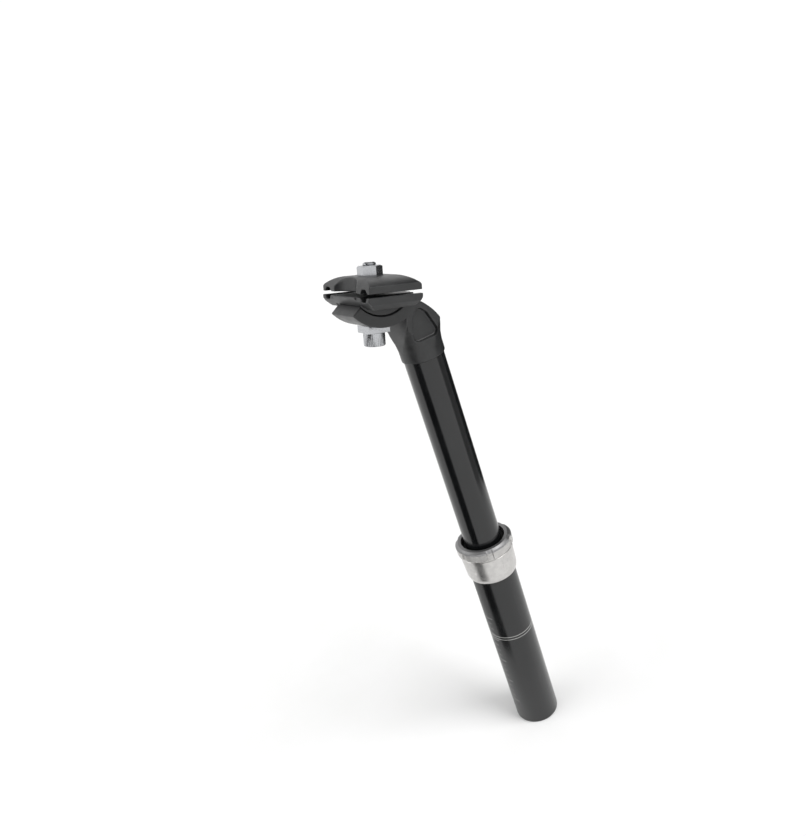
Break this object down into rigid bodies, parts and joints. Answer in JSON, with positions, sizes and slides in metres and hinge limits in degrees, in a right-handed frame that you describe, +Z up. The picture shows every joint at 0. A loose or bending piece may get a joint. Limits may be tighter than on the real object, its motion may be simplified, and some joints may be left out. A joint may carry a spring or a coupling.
{
  "type": "suspension seatpost",
  "caption": "Telescopic bicycle seatpost with a coil spring, a screwed lock collar and a tilting clamp that grips the two saddle rails.",
  "frame": {"origin": "centre of the outer tube's foot, on the post's axis", "axes": "+Z up the post's axis to the saddle, +X to the front of the bicycle, +Y to its left"},
  "size_m": [0.0625, 0.057, 0.3671],
  "materials": {
    "black_anodised": "polished and anodised gloss black",
    "black_forging": "shot-blasted and anodised satin black",
    "silver_aluminium": "turned, clear anodised satin silver",
    "plated_steel": "bright zinc plated",
    "spring_steel": "greased dark spring wire",
    "black_rubber": "matt",
    "elastomer": "matt closed-cell foam",
    "dark_polymer": "machined bearing plastic",
    "key_brass": "machined"
  },
  "bodies": {
    "lower_post": {"outer_tube": "black_anodised", "upper_bush": "dark_polymer", "top_out_ring": "black_rubber", "main_spring": "spring_steel", "spacer_disc": "plated_steel", "bottom_out_bumper": "black_rubber", "preload_elastomer": "elastomer"},
    "upper_post": {"stanchion": "black_anodised", "lower_guide_ring": "dark_polymer", "anti_rotation_key_1": "key_brass", "anti_rotation_key_2": "key_brass", "anti_rotation_key_3": "key_brass", "spring_stop": "silver_aluminium", "guide_rod": "dark_polymer", "snap_ring": "spring_steel", "seat_head": "black_forging"},
    "tilting_clamp": {"rail_cradle": "black_forging", "dished_washer": "plated_steel"},
    "turning_bolt": {"clamp_bolt": "plated_steel"},
    "lifting_clamp": {"upper_clamp": "black_forging", "clamp_nut": "plated_steel"},
    "preload_follower": {"preload_washer": "plated_steel"},
    "turning_plug": {"preload_plug": "silver_aluminium", "plug_seal": "black_rubber"},
    "lifting_wiper": {"wiper_seal": "black_rubber"},
    "turning_collar": {"lock_collar": "silver_aluminium"}
  },
  "joints": [
    {"name": "suspension_travel", "type": "slide", "parent": "lower_post", "child": "upper_post", "axis": [0, 0, -1], "range_m": [0, 0.05], "stiffness_N_per_m": 17500, "springref_m": -0.0055, "deforming": ["main_spring"]},
    {"name": "saddle_tilt", "type": "hinge", "parent": "upper_post", "child": "tilting_clamp", "pos_m": [-0.01766, 0, 0.35765], "axis": [0, 1, 0], "range_deg": [-10, 10]},
    {"name": "clamp_bolt_turn", "type": "hinge", "parent": "tilting_clamp", "child": "turning_bolt", "pos_m": [-0.01766, 0, 0.35765], "axis": [-0.2924, 0, -0.9563], "range_deg": [0, 2160]},
    {"name": "rail_clamp_open", "type": "slide", "parent": "tilting_clamp", "child": "lifting_clamp", "axis": [0.2924, 0, 0.9563], "range_m": [0, 0.0075]},
    {"name": "preload_turn", "type": "hinge", "parent": "preload_follower", "child": "turning_plug", "pos_m": [0, 0, 0.009], "axis": [0, 0, 1], "range_deg": [0, 1800]},
    {"name": "preload_travel", "type": "slide", "parent": "lower_post", "child": "preload_follower", "axis": [0, 0, 1], "range_m": [0, 0.0075], "deforming": ["preload_elastomer"]},
    {"name": "collar_turn", "type": "hinge", "parent": "lifting_wiper", "child": "turning_collar", "pos_m": [0, 0, 0.146], "axis": [0, 0, 1], "range_deg": [0, 3600]},
    {"name": "collar_lift", "type": "slide", "parent": "lower_post", "child": "lifting_wiper", "axis": [0, 0, 1], "range_m": [0, 0.015]}
  ],
  "couplings": [
    {"joint": "clamp_bolt_turn", "follows": "rail_clamp_open", "rad_per_m": 5026.5},
    {"joint": "preload_turn", "follows": "preload_travel", "rad_per_m": 4188.8},
    {"joint": "collar_turn", "follows": "collar_lift", "rad_per_m": 4188.8}
  ]
}
